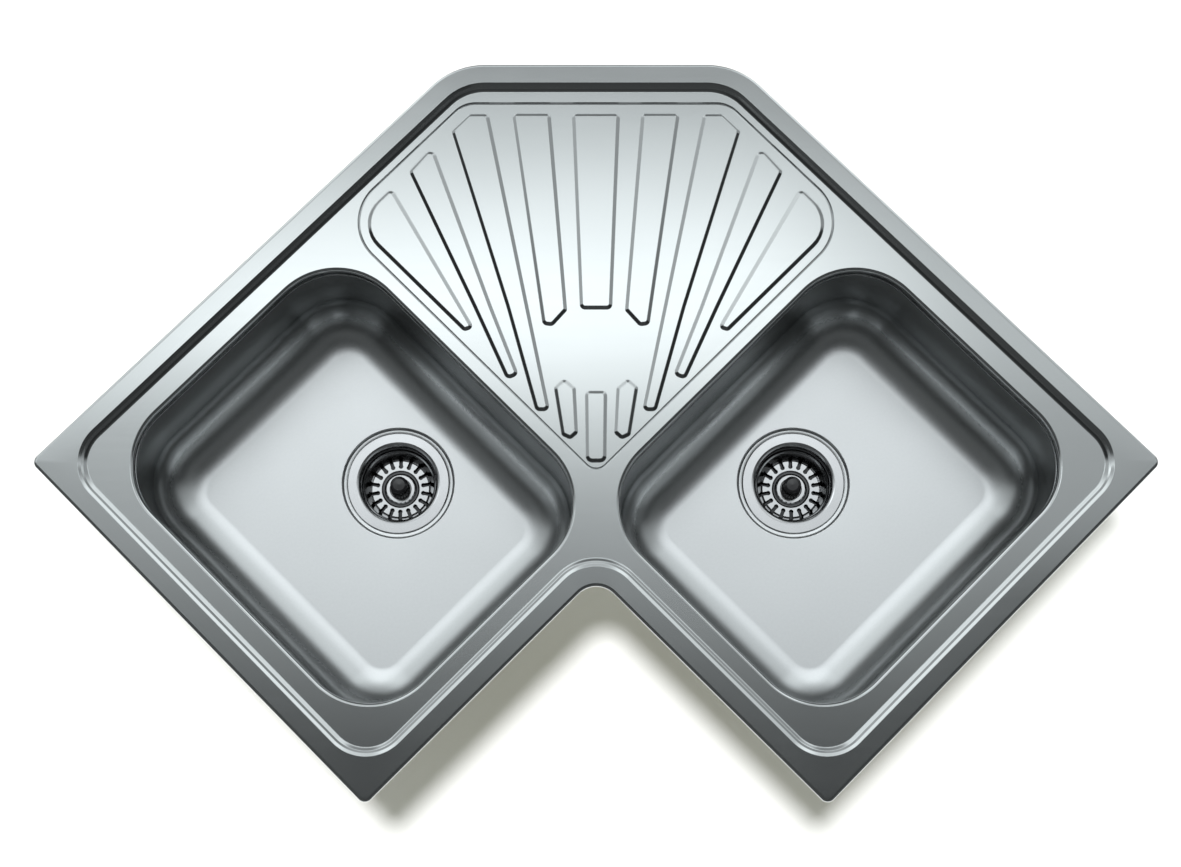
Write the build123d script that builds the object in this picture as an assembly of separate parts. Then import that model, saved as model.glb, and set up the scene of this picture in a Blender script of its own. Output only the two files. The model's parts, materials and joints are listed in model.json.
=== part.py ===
from build123d import *
import os
import math

os.makedirs("parts", exist_ok=True)

# ------------------------------------------------------------------ sizes, mm
WALL = 830.0          # length of each wall edge, measured from the virtual back corner
ARM = 500.0           # depth of each arm, front to back
CHAMFER = 152.0       # half width of the cut-off back corner
SHEET = 0.8           # sheet thickness of deck and bowls
R_TIP = 9.0           # plan radius of the four arm corners
R_CHAMFER = 80.0      # plan radius where the cut-off corner meets the walls
R_NOTCH = 25.0        # plan radius of the inside front corner
Y_MID = 546.5         # the origin lies this far in front of the virtual back corner

Z_RIM = 3.0           # top of the rim strip above the worktop
Z_LEDGE = 1.75        # height of the narrow sloping ledge inside the rim strip, at its outer side
LEDGE_FALL = 0.5      # fall of the ledge
Z_DECK = -1.0         # top of the deck
Z_DRAINER = -2.0      # top of the drainer
Z_RIB = 0.0           # top of the drainer ribs
Z_LIP = -14.0         # weld line between the deck's rolled lips and the bowls
Z_SKIRT = 0.3         # lower end of the down-turned outer edge
STRIP = 21.0          # width of the rim strip
STEP1 = 3.2           # plan width of the outer step
LEDGE = 2.6           # plan width of the ledge
STEP2 = 3.2           # plan width of the inner step
R_STEP = 48.0         # plan radius of the outer step line at the arm corners

BOWL_U, BOWL_V = 609.0, 252.0      # bowl centre, along the wall and away from it
BOWL_A, BOWL_B = 336.0, 396.0      # clear opening of each bowl
R_BOWL = 75.0         # plan radius of the bowl corners
R_ROLL = 4.0          # radius of the rolled bowl rim
Z_FLOOR = -156.0      # top of the bowl floor
DRAFT = 1.5           # bowl wall draft, degrees
R_FLOOR = 52.0        # radius between bowl wall and floor

DRAIN_U, DRAIN_V = 563.0, 256.0    # drain centre
R_RECESS = 58.5       # drain recess
RECESS_DEPTH = 2.4
R_HOLE = 44.5         # hole for the strainer
Z_SEAT = Z_FLOOR - RECESS_DEPTH    # top of the recess floor

S2 = math.sqrt(2.0)


# ------------------------------------------------------------------ plan helpers
def uv(u, v, side=-1):
    """A point u along the wall and v away from it, as plan X, Y. side -1 is the left arm."""
    return (-side * (v - u) / S2, -(u + v) / S2 + Y_MID) if side > 0 else ((v - u) / S2, -(u + v) / S2 + Y_MID)


def offset_points(pts, d):
    """The polygon with every edge moved d to its left, which is inwards for a counter-clockwise one."""
    n = len(pts)
    lines = []
    for i in range(n):
        (x1, y1), (x2, y2) = pts[i], pts[(i + 1) % n]
        L = math.hypot(x2 - x1, y2 - y1)
        nx, ny = -(y2 - y1) / L, (x2 - x1) / L
        lines.append(((x1 + nx * d, y1 + ny * d), ((x2 - x1) / L, (y2 - y1) / L)))
    out = []
    for i in range(n):
        (p, a), (q, b) = lines[i - 1], lines[i]
        det = a[0] * b[1] - a[1] * b[0]
        t = ((q[0] - p[0]) * b[1] - (q[1] - p[1]) * b[0]) / det
        out.append((p[0] + a[0] * t, p[1] + a[1] * t))
    return out


def is_convex(a, b, c):
    return (b[0] - a[0]) * (c[1] - b[1]) - (b[1] - a[1]) * (c[0] - b[0]) > 0


def rounded(pts, radii, z=0.0, d=0.0, least=0.4):
    """A flat face at height z: the polygon moved inwards by d, its corners rounded about unmoved centres."""
    n = len(pts)
    q = offset_points(pts, d) if d else list(pts)
    rr = []
    for i in range(n):
        conv = is_convex(pts[i - 1], pts[i], pts[(i + 1) % n])
        rr.append(max(radii[i] - d, least) if conv else max(radii[i] + d, least))
    ends = []
    for i in range(n):
        a, b, c = q[i - 1], q[i], q[(i + 1) % n]
        u1 = ((a[0] - b[0]), (a[1] - b[1]))
        u2 = ((c[0] - b[0]), (c[1] - b[1]))
        l1, l2 = math.hypot(*u1), math.hypot(*u2)
        u1 = (u1[0] / l1, u1[1] / l1)
        u2 = (u2[0] / l2, u2[1] / l2)
        ang = math.acos(max(-1.0, min(1.0, u1[0] * u2[0] + u1[1] * u2[1])))
        t = rr[i] / math.tan(ang / 2)
        p1 = (b[0] + u1[0] * t, b[1] + u1[1] * t)
        p2 = (b[0] + u2[0] * t, b[1] + u2[1] * t)
        m = (u1[0] + u2[0], u1[1] + u2[1])
        lm = math.hypot(*m)
        h = rr[i] / math.sin(ang / 2)
        mid = (b[0] + m[0] / lm * (h - rr[i]), b[1] + m[1] / lm * (h - rr[i]))
        ends.append((p1, mid, p2))
    edges = []
    for i in range(n):
        p1, mid, p2 = ends[i]
        nxt = ends[(i + 1) % n][0]
        edges.append(Edge.make_three_point_arc(Vector(*p1, z), Vector(*mid, z), Vector(*p2, z)))
        if math.hypot(nxt[0] - p2[0], nxt[1] - p2[1]) > 1e-4:
            edges.append(Edge.make_line(Vector(*p2, z), Vector(*nxt, z)))
    return Face(Wire(edges))


def prism(face, z0, z1):
    """The face's outline as an upright solid from z0 to z1; the face lies at z0."""
    return Solid.extrude(face, Vector(0, 0, z1 - z0))


def frustum(pts, radii, z0, d0, z1, d1, least=0.4):
    """A solid between the outline moved in by d0 at z0 and by d1 at z1."""
    w0 = rounded(pts, radii, z0, d0, least).outer_wire()
    w1 = rounded(pts, radii, z1, d1, least).outer_wire()
    return Solid.make_loft([w0, w1], ruled=True)


def mirror_x(pts):
    return [(-x, y) for x, y in reversed(pts)]


def spun(points, x=0.0, y=0.0):
    """A solid turned about the upright axis at x, y from a closed profile of (radius, z) points."""
    w = Wire.make_polygon([Vector(r, 0, z) for r, z in points], close=True)
    s = Solid.revolve(Face(w), 360, Axis.Z)
    return s.moved(Location((x, y, 0)))


def tube(x, y, r, z0, z1, inner=None):
    s = Solid.make_cylinder(r, z1 - z0, Plane(origin=(x, y, z0)))
    if inner:
        s = s - Solid.make_cylinder(inner, z1 - z0 + 2, Plane(origin=(x, y, z0 - 1)))
    return s


def block(x0, x1, y0, y1, z0, z1):
    return Solid.make_box(x1 - x0, y1 - y0, z1 - z0).moved(Location((x0, y0, z0)))


def one(shape):
    """The single solid of a result."""
    s = shape.solids()
    assert len(s) == 1, len(s)
    return s[0]


# ------------------------------------------------------------------ outline
WS = WALL / S2
WA = ARM / S2


def P(x, y):
    return (x, y + Y_MID)


outline = [
    P(-CHAMFER, -CHAMFER),
    P(-WS, -WS),
    P(-WS + WA, -WS - WA),
    P(0.0, -ARM * S2),
    P(WS - WA, -WS - WA),
    P(WS, -WS),
    P(CHAMFER, -CHAMFER),
]
edge_radii = [R_CHAMFER, R_TIP, R_TIP, R_NOTCH, R_TIP, R_TIP, R_CHAMFER]
step_radii = [R_CHAMFER, R_STEP + STRIP, R_STEP + STRIP, R_NOTCH, R_STEP + STRIP, R_STEP + STRIP, R_CHAMFER]


def bowl_points(side, du=0.0):
    u0, u1 = BOWL_U - BOWL_A / 2 - du, BOWL_U + BOWL_A / 2 + du
    v0, v1 = BOWL_V - BOWL_B / 2 - du, BOWL_V + BOWL_B / 2 + du
    left = [uv(u0, v0), uv(u1, v0), uv(u1, v1), uv(u0, v1)]
    return left if side < 0 else mirror_x(left)


bowl_radii = [R_BOWL] * 4

# drainer border: parallel to the walls and to the bowls, with a pointed front
BORDER_V, BORDER_U, BORDER_Y = 38.0, 424.0, -195.0
border_half = [
    (BORDER_Y + BORDER_V * S2, BORDER_Y),
    ((BORDER_V - BORDER_U) / S2, -(BORDER_U + BORDER_V) / S2),
]
border = (
    [P(*border_half[0]), P(*border_half[1]), P(0.0, -BORDER_U * S2)]
    + [P(-border_half[1][0], border_half[1][1]), P(-border_half[0][0], border_half[0][1])]
)
border_radii = [30.0, 52.0, 14.0, 52.0, 30.0]

# drainer ribs: the middle line of each sloping side, left half, and their corner radii
rib_centre = [P(-23.8, -208.2), P(-15.2, -421.0), P(15.2, -421.0), P(23.8, -208.2)]
ribs_left = [
    ([P(-87.8, -208.0), P(-54.5, -438.0), P(-46.3, -439.0), P(-32.3, -423.2), P(-50.3, -208.0)], [4, 4, 4, 2, 4]),
    (
        [P(-134.5, -208.5), P(-152.5, -226.5), P(-92.2, -420.3), P(-61.6, -530.5), P(-50.0, -530.5), P(-72.9, -420.3), P(-116.3, -208.5)],
        [5, 4, 300, 4, 4, 300, 4],
    ),
    (
        [P(-175.0, -246.0), P(-197.0, -271.5), P(-127.0, -420.3), P(-92.5, -496.5), P(-83.0, -492.5), P(-111.2, -420.3)],
        [5, 4, 300, 4, 4, 300],
    ),
    ([P(-217.5, -292.0), P(-253.9, -328.8), P(-138.2, -444.5), P(-130.6, -442.0)], [4, 34, 3.0, 3.0]),
    ([P(-33.3, -499.5), P(-42.2, -507.5), P(-34.2, -557.0), P(-26.8, -560.5), P(-20.6, -555.0), P(-23.0, -508.3)], [3, 3, 3, 3, 3, 3]),
]
rib_short = [P(-9.8, -512.3), P(-8.9, -585.0), P(8.9, -585.0), P(9.8, -512.3)]
RIB_HALF = 1.6        # half the plan width of a rib's sloping side

all_ribs = [(rib_centre, [4, 4, 4, 4]), (rib_short, [4, 5, 5, 4])]
for pts, radii in ribs_left:
    all_ribs.append((pts, radii))
    all_ribs.append((mirror_x(pts), list(reversed(radii))))


# ------------------------------------------------------------------ deck
def deck_form(t):
    """Everything below the deck's top surface (t = 0) or below its lower surface (t = SHEET)."""
    line = [(STRIP, Z_RIM), (STRIP + STEP1, Z_LEDGE), (STRIP + STEP1 + LEDGE, Z_LEDGE - LEDGE_FALL), (STRIP + STEP1 + LEDGE + STEP2, Z_DECK)]
    fall = [0.0] + [(line[i][1] - line[i + 1][1]) / (line[i + 1][0] - line[i][0]) for i in range(3)] + [0.0]
    step = []
    for (d, z), m0, m1 in zip(line, fall, fall[1:]):
        s = t * (math.hypot(1, m0) - math.hypot(1, m1)) / (m1 - m0)
        step.append((d + s, z - m0 * s - t * math.hypot(1, m0)))
    s3 = t * math.tan(math.atan2(Z_DECK - Z_DRAINER, 1.6) / 2)
    s4 = t * math.tan(math.atan2(Z_RIB - Z_DRAINER, 2 * RIB_HALF) / 2)
    a = prism(rounded(outline, edge_radii, Z_LIP, t), Z_LIP, Z_RIM - t)
    top = [e for e in a.edges() if abs(e.center().Z - (Z_RIM - t)) < 1e-6]
    a = a.fillet(2.6 - t, top)
    for (d0, z0), (d1, z1) in zip(step, step[1:]):
        a = one(a - frustum(outline, step_radii, z0, d0, z1, d1))
    a = a - frustum(border, border_radii, Z_DECK - t, -0.8 - s3, Z_DRAINER - t, 0.8 - s3)
    a = one(a)
    for pts, radii in all_ribs:
        a = a + frustum(pts, radii, Z_DRAINER - t - 0.0, -RIB_HALF + s4, Z_RIB - t, RIB_HALF + s4, 0.3)
    a = one(a)
    for side in (-1, 1):
        hole = prism(rounded(bowl_points(side), bowl_radii, Z_LIP - 1, -t), Z_LIP - 1, 5.0)
        a = one(a - hole)
    rims = []
    for e in a.edges():
        c = e.center()
        if abs(c.Z - (Z_DECK - t)) < 1e-6 and e.bounding_box().size.Z < 1e-6:
            for side in (-1, 1):
                for p in bowl_edges(side, t):
                    if (c - p).length < 0.05:
                        rims.append(e)
    a = a.fillet(R_ROLL - t, rims)
    return one(a)


def bowl_edges(side, t):
    f = rounded(bowl_points(side), bowl_radii, Z_DECK - t, -t)
    return [e.center() for e in f.outer_wire().edges()]


upper = deck_form(0.0)
lower = deck_form(SHEET)
deck = upper - lower
skirt_cut = prism(rounded(outline, edge_radii, Z_LIP - 1, -5.0), Z_LIP - 1, Z_SKIRT) - prism(
    rounded(outline, edge_radii, Z_LIP - 2, STRIP - 2.0, 1.0), Z_LIP - 2, Z_SKIRT + 1
)
deck = one(deck - skirt_cut)
export_step(deck, "parts/deck.step")
print("deck", deck.volume, deck.is_valid)


# ------------------------------------------------------------------ bowls
def drain_xy(side):
    x, y = uv(DRAIN_U, DRAIN_V)
    return (x, y) if side < 0 else (-x, y)


def bowl_body(side, t):
    inset = (Z_LIP - Z_FLOOR) * math.tan(math.radians(DRAFT))
    pts = bowl_points(side)
    k = t / math.cos(math.radians(DRAFT))
    b = frustum(pts, bowl_radii, Z_LIP, -t, Z_FLOOR - t, inset - k)
    low = [e for e in b.edges() if e.bounding_box().max.Z < Z_FLOOR - t + 1e-4]
    return b.fillet(R_FLOOR + t, low)


for side, name in ((-1, "bowl_left"), (1, "bowl_right")):
    x, y = drain_xy(side)
    outer = bowl_body(side, SHEET)
    inner = bowl_body(side, 0.0)
    dish_out = spun([(0, Z_SEAT - SHEET), (R_RECESS - 0.6, Z_SEAT - SHEET), (R_RECESS + 2.2, Z_FLOOR - SHEET), (R_RECESS + 2.2, Z_FLOOR - 0.2), (0, Z_FLOOR - 0.2)], x, y)
    dish_in = spun([(0, Z_SEAT), (R_RECESS - 1.0, Z_SEAT), (R_RECESS + 1.0, Z_FLOOR), (R_RECESS + 1.0, Z_FLOOR + 1), (0, Z_FLOOR + 1)], x, y)
    b = one(outer + dish_out) - inner - dish_in - tube(x, y, R_HOLE, Z_SEAT - 5, Z_FLOOR + 2)
    b = one(b)
    export_step(b, "parts/%s.step" % name)
    print(name, b.volume, b.is_valid)

# ------------------------------------------------------------------ sealing strip under the rim
seal = prism(rounded(outline, edge_radii, 0.0, 4.5, 1.5), 0.0, Z_RIM - SHEET) - prism(
    rounded(outline, edge_radii, -1.0, 13.5, 1.5), -1.0, Z_RIM
)
export_step(one(seal), "parts/rim_seal.step")

# ------------------------------------------------------------------ sound-deadening pads under the bowl floors
for side, name in ((-1, "damping_pad_left"), (1, "damping_pad_right")):
    pts = [uv(646, 118), uv(716, 118), uv(716, 388), uv(646, 388)]
    pts = pts if side < 0 else mirror_x(pts)
    pad = prism(rounded(pts, [8] * 4, Z_FLOOR - SHEET - 2.5), Z_FLOOR - SHEET - 2.5, Z_FLOOR - SHEET)
    export_step(pad, "parts/%s.step" % name)

# ------------------------------------------------------------------ clamps
# Each clamp: a bracket welded under the deck, a pin, an arm that swings out below the worktop,
# and a screw in the arm's tail. Local axes: X along the edge, Y outwards, Z up, and the
# outer edge of the sink at Y = 0.
PIN_D = 33.0          # pin axis, inside the outer edge
PIN_Z = -13.0
R_PIN = 2.0
ARM_DROP = 38.0       # pin to the foot's lower face
FOOT = 17.0           # pin to the foot's tip
TAIL = 7.0            # pin to the screw axis
BASE_Z = Z_DECK - SHEET


def bracket(depth):
    base = block(-13, 13, -depth, -30.6, BASE_Z - 1.5, BASE_Z)
    b = base
    for s in (-1, 1):
        x0, x1 = sorted((s * 8.5, s * 10.0))
        ear = block(x0, x1, -PIN_D - 4.5, -PIN_D + 4.5, PIN_Z, BASE_Z - 0.5)
        ear = ear + Solid.make_cylinder(4.5, 1.5, Plane(origin=(x0, -PIN_D, PIN_Z), z_dir=(1, 0, 0)))
        b = b + ear
    b = b - Solid.make_cylinder(R_PIN, 40, Plane(origin=(-20, -PIN_D, PIN_Z), z_dir=(1, 0, 0)))
    return one(b)


def pin():
    p = Solid.make_cylinder(R_PIN, 22.0, Plane(origin=(-11, -PIN_D, PIN_Z), z_dir=(1, 0, 0)))
    p = p + Solid.make_cylinder(R_PIN + 1.2, 1.0, Plane(origin=(-11.0, -PIN_D, PIN_Z), z_dir=(1, 0, 0)))
    p = p + Solid.make_cylinder(R_PIN + 1.2, 1.0, Plane(origin=(10.0, -PIN_D, PIN_Z), z_dir=(1, 0, 0)))
    return one(p)


def arm():
    y, z = -PIN_D, PIN_Z
    a = block(-8, 8, y + 1.0, y + 3.0, z - ARM_DROP, z - 6.0)
    for s in (-1, 1):
        x0, x1 = sorted((s * 6.0, s * 8.0))
        cheek = Solid.make_cylinder(5.0, 2.0, Plane(origin=(x0, y, z), z_dir=(1, 0, 0)))
        cheek = cheek + block(x0, x1, y - 2.0, y + 3.0, z - ARM_DROP, z)
        a = a + cheek
        a = a + block(x0, x1, y - TAIL - 4.5, y, z - 1.5, z + 1.5)
    a = a + block(-8, 8, y + 1.0, y + FOOT, z - ARM_DROP, z - ARM_DROP + 2.5)
    for k in range(3):
        yt = y + FOOT - 2.4 * k
        tooth = Wire.make_polygon(
            [Vector(-8, yt - 2.4, z - ARM_DROP + 2.0), Vector(-8, yt, z - ARM_DROP + 2.0), Vector(-8, yt - 0.3, z - ARM_DROP + 4.6)], close=True
        )
        a = a + Solid.extrude(Face(tooth), Vector(16, 0, 0))
    a = a + block(-8, 8, y - TAIL - 4.5, y - 3.0, z - 1.5, z + 1.5)
    a = a - Solid.make_cylinder(R_PIN + 0.05, 40, Plane(origin=(-20, y, z), z_dir=(1, 0, 0)))
    a = a - Solid.make_cylinder(2.55, 20, Plane(origin=(0, y - TAIL, z - 10), z_dir=(0, 0, 1)))
    return one(a)


def screw():
    y = -PIN_D - TAIL
    tip = BASE_Z - 1.5 - 1.5
    s = spun([(0, tip), (1.6, tip), (1.6, tip - 2.0), (2.5, tip - 3.0), (2.5, tip - 35.0), (4.2, tip - 35.0), (4.2, tip - 37.6), (3.4, tip - 38.6), (0, tip - 38.6)], 0, y)
    socket = Solid.extrude(Face(Wire.make_polygon([Vector(1.9 * math.cos(math.radians(60 * k)), y + 1.9 * math.sin(math.radians(60 * k)), tip - 39.0) for k in range(6)], close=True)), Vector(0, 0, 2.6))
    return one(s - socket)


def edge_place(x, y, nx, ny):
    """The placement of a clamp at plan point x, y on the outer edge, with outward normal nx, ny."""
    return Plane(origin=(x, y, 0), x_dir=(ny, -nx, 0), z_dir=(0, 0, 1)).location


H = 1 / S2
clamp_places = [("back", P(0.0, -CHAMFER), (0.0, 1.0), 41.4)]
for side, tag in ((-1, "left"), (1, "right")):
    def pt(u, v):
        x, y = uv(u, v)
        return (x, y) if side < 0 else (-x, y)
    clamp_places += [
        ("%s_wall_inner" % tag, pt(470.0, 0.0), (side * H, H), 45.5),
        ("%s_wall_outer" % tag, pt(720.0, 0.0), (side * H, H), 45.5),
        ("%s_end" % tag, pt(WALL, 250.0), (side * H, -H), 45.5),
        ("%s_front" % tag, pt(665.0, ARM), (-side * H, -H), 45.5),
    ]

arm_shape, screw_shape, pin_shape = arm(), screw(), pin()
brackets, pins = [], []
for tag, (x, y), (nx, ny), depth in clamp_places:
    loc = edge_place(x, y, nx, ny)
    brackets.append(bracket(depth).moved(loc))
    pins.append(pin_shape.moved(loc))
    export_step(arm_shape.moved(loc), "parts/clamp_arm_%s.step" % tag)
    export_step(screw_shape.moved(loc), "parts/clamp_screw_%s.step" % tag)
export_step(Compound(brackets), "parts/clamp_brackets.step")
export_step(Compound(pins), "parts/clamp_pins.step")

# ------------------------------------------------------------------ basket strainer and waste
GASKET = 0.8
Z_FL = Z_SEAT + GASKET              # underside of the strainer flange
T_CUP = 0.9
Z_TOP = Z_FL + T_CUP                # top of the flange
R_FLANGE = 56.0
R_CUP = 41.0                        # inside of the cup
Z_CUP = Z_TOP - 42.0                # shoulder that the basket seal sits on
Z_DISH = Z_TOP - 54.0               # bottom of the cup's central dish
R_DISH = 21.0
N_SLOT = 18

# strainer cup profile: flange, rounded mouth, wall, shoulder, dish
R_MOUTH = 5.0                       # radius of the cup's rounded mouth
mouth = [math.radians(15.0 * k) for k in range(7)]
cup_in = [(R_FLANGE - 0.8, Z_TOP)]
cup_in += [(R_CUP + R_MOUTH * (1 - math.sin(q)), Z_TOP - R_MOUTH * (1 - math.cos(q))) for q in mouth]
cup_in += [(R_CUP, Z_CUP + 1.5), (R_CUP - 1.5, Z_CUP), (R_DISH + 1.0, Z_CUP), (R_DISH, Z_CUP - 1.0), (R_DISH - 1.0, Z_DISH + 1.5), (R_DISH - 2.5, Z_DISH), (0, Z_DISH)]
cup_out = [(0, Z_DISH - T_CUP), (R_DISH - 2.1, Z_DISH - T_CUP), (R_DISH - 0.1, Z_DISH + 1.1), (R_DISH + 0.9, Z_CUP - T_CUP), (R_CUP - 1.1, Z_CUP - T_CUP), (R_CUP + T_CUP, Z_CUP + 1.1)]
cup_out += [(R_CUP + R_MOUTH - (R_MOUTH - T_CUP) * math.sin(q), Z_TOP - R_MOUTH + (R_MOUTH - T_CUP) * math.cos(q)) for q in mouth[::-1]]
cup_out += [(R_FLANGE, Z_FL), (R_FLANGE, Z_FL + 0.3)]
cup = spun(cup_in + cup_out)
for k in range(6):
    a = math.radians(60 * k + 30)
    cup = cup - tube(12.6 * math.cos(a), 12.6 * math.sin(a), 4.0, Z_DISH - 3, Z_DISH + 3)
cup = one(cup - tube(0, 0, 3.3, Z_DISH - 3, Z_DISH + 3))

gasket = one(tube(0, 0, R_FLANGE - 0.5, Z_SEAT, Z_FL, 46.0))
Z_BASE = Z_SEAT - SHEET             # underside of the recess
under = one(tube(0, 0, 55.5, Z_BASE - 3.0, Z_BASE, 45.5))

# waste body: flange, chamber, cone, outlet with thread, and a three-legged boss for the centre screw
Z_W = Z_BASE - 3.0
R_CH = 43.4
R_OUT = 23.9
Z_CONE0, Z_CONE1, Z_OUT = Z_W - 44.0, Z_W - 64.0, Z_W - 88.0
body = spun([
    (R_CH, Z_W), (57.0, Z_W), (57.0, Z_W - 4.5), (R_CH + 3.0, Z_W - 6.5), (R_CH + 2.6, Z_CONE0), (R_OUT + 1.6, Z_CONE1 + 1.0), (R_OUT + 1.6, Z_CONE1 - 3.0),
    (R_OUT, Z_CONE1 - 3.0), (R_OUT, Z_OUT + 1.0), (R_OUT - 1.0, Z_OUT), (20.0, Z_OUT), (20.0, Z_CONE1), (R_CH - 0.4, Z_CONE0 + 1.0), (R_CH, Z_CONE0 + 3.0),
])
Z_BOSS = Z_DISH - T_CUP
boss = tube(0, 0, 6.0, Z_BOSS - 16.0, Z_BOSS)
for k in range(3):
    leg = block(0, 31.0, -1.4, 1.4, Z_BOSS - 14.0, Z_BOSS - 3.0)
    boss = boss + leg.moved(Location((0, 0, 0), (0, 0, 120 * k + 90)))
boss = boss & spun([(0, Z_BOSS), (R_CH + 1.0, Z_BOSS), (R_CH + 1.0, Z_CONE0), (R_OUT - 1.5, Z_CONE1 - 1.0), (R_OUT - 1.5, Z_BOSS - 20), (0, Z_BOSS - 20)])
body = body + boss
body = one(body - tube(0, 0, 3.05, Z_BOSS - 13.0, Z_BOSS + 1.0))

# centre screw with its washer, and the basket's own pieces
Z_HEAD = Z_DISH + 1.2
washer = one(tube(0, 0, 7.0, Z_DISH, Z_HEAD, 3.2))
centre = spun([(0, Z_BOSS - 12.0), (2.2, Z_BOSS - 12.0), (3.0, Z_BOSS - 11.0), (3.0, Z_HEAD), (5.2, Z_HEAD), (5.2, Z_HEAD + 3.0), (4.6, Z_HEAD + 3.6), (0, Z_HEAD + 3.6)])
centre = one(centre - block(-6, 6, -0.7, 0.7, Z_HEAD + 2.0, Z_HEAD + 5.0))

Z_BRIM = Z_TOP - 18.0               # rolled top edge of the basket
Z_BF = Z_TOP - 35.5                 # top of the basket floor
basket = spun([
    (40.2, Z_BRIM - 0.4), (40.2, Z_BRIM + 0.4), (39.2, Z_BRIM + 0.8), (38.0, Z_BRIM), (33.2, Z_BF + 2.2), (31.4, Z_BF),
    (21.2, Z_BF), (20.3, Z_BF - 1.7), (19.2, Z_BF - 2.4), (18.2, Z_BF - 2.4), (17.2, Z_BF - 1.6), (16.4, Z_BF + 0.6), (15.4, Z_BF + 1.6), (12.2, Z_BF + 1.6), (11.2, Z_BF + 0.8), (2.6, Z_BF + 0.8),
    (2.6, Z_BF), (11.0, Z_BF), (12.0, Z_BF + 0.8), (15.1, Z_BF + 0.8), (15.7, Z_BF + 0.1), (16.5, Z_BF - 2.1), (17.9, Z_BF - 3.2), (19.5, Z_BF - 3.2), (21.0, Z_BF - 2.2), (21.8, Z_BF - 0.8), (31.7, Z_BF - 0.8), (34.0, Z_BF + 1.9), (38.8, Z_BRIM - 0.6),
])
for k in range(N_SLOT):
    a = 360.0 / N_SLOT * k + 10.0
    slot = block(25.6, 36.0, -2.1, 2.1, Z_BF - 3.0, Z_BF + 8.0) + tube(25.6, 0, 2.5, Z_BF - 3.0, Z_BF + 8.0)
    basket = basket - slot.moved(Location((0, 0, 0), (0, 0, a)))
basket = one(basket)

knob = spun([
    (2.6, Z_BF + 0.8), (11.0, Z_BF + 0.8), (11.0, Z_BF + 2.4), (9.4, Z_BF + 4.6), (7.6, Z_BF + 9.0), (7.4, Z_BF + 15.0), (8.6, Z_BF + 20.5), (9.6, Z_BF + 23.5), (9.6, Z_BF + 25.2),
    (8.8, Z_BF + 26.4), (6.5, Z_BF + 27.2), (0, Z_BF + 27.4), (0, Z_BF + 9.0), (2.6, Z_BF + 9.0),
])
seal_disc = spun([(2.6, Z_BF - 2.4), (9.0, Z_BF - 2.4), (9.0, Z_BF - 3.4), (22.0, Z_BF - 3.4), (23.4, Z_BF - 4.4), (23.4, Z_CUP), (2.6, Z_CUP)])
collar = one(tube(0, 0, 8.0, Z_BF - 2.4, Z_BF, 2.6))
spindle = spun([(0, Z_BF + 8.9), (2.5, Z_BF + 8.9), (2.5, Z_CUP), (8.0, Z_CUP), (8.0, Z_CUP - 1.0), (4.0, Z_CUP - 1.0), (4.0, Z_CUP - 3.4), (2.2, Z_CUP - 3.4), (2.2, Z_CUP - 4.2), (0, Z_CUP - 4.2)])

for side, tag in ((-1, "left"), (1, "right")):
    x, y = drain_xy(side)
    loc = Location((x, y, 0))
    for shape, name in (
        (cup, "strainer_cup"), (gasket, "flange_gasket"), (under, "under_gasket"), (body, "waste_body"), (washer, "screw_washer"), (centre, "centre_screw"),
        (basket, "basket"), (knob, "basket_knob"), (seal_disc, "basket_seal"), (collar, "basket_collar"), (spindle, "basket_spindle"),
    ):
        export_step(shape.moved(loc), "parts/%s_%s.step" % (name, tag))
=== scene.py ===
import json
import math

import bmesh
import bpy
import numpy as np
from mathutils import Matrix, Vector, geometry

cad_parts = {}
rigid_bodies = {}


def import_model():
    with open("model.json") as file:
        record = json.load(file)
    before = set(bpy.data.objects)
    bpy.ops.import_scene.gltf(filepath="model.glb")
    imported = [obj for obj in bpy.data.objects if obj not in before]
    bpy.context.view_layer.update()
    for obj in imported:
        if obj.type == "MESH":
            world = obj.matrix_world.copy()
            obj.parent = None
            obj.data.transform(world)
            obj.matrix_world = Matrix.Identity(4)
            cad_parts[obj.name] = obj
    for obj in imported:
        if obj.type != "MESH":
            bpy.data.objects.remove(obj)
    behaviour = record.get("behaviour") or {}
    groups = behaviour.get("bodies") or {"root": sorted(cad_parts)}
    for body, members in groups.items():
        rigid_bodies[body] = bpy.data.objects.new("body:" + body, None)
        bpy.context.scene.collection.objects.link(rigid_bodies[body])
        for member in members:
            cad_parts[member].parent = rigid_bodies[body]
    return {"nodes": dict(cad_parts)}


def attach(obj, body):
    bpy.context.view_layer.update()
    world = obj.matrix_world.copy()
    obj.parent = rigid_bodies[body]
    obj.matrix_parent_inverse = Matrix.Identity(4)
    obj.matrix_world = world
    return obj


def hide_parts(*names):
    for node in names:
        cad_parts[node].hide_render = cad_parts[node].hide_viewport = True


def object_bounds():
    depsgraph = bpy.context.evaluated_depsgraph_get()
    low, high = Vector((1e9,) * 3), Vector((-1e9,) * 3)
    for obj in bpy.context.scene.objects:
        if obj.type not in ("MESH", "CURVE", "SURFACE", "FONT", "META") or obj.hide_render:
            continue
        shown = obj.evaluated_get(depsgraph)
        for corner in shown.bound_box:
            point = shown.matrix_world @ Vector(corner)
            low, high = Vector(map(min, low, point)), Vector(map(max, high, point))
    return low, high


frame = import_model()
CAD_BOX = [list(v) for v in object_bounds()]
scene = bpy.context.scene
MM = 0.001

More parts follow.
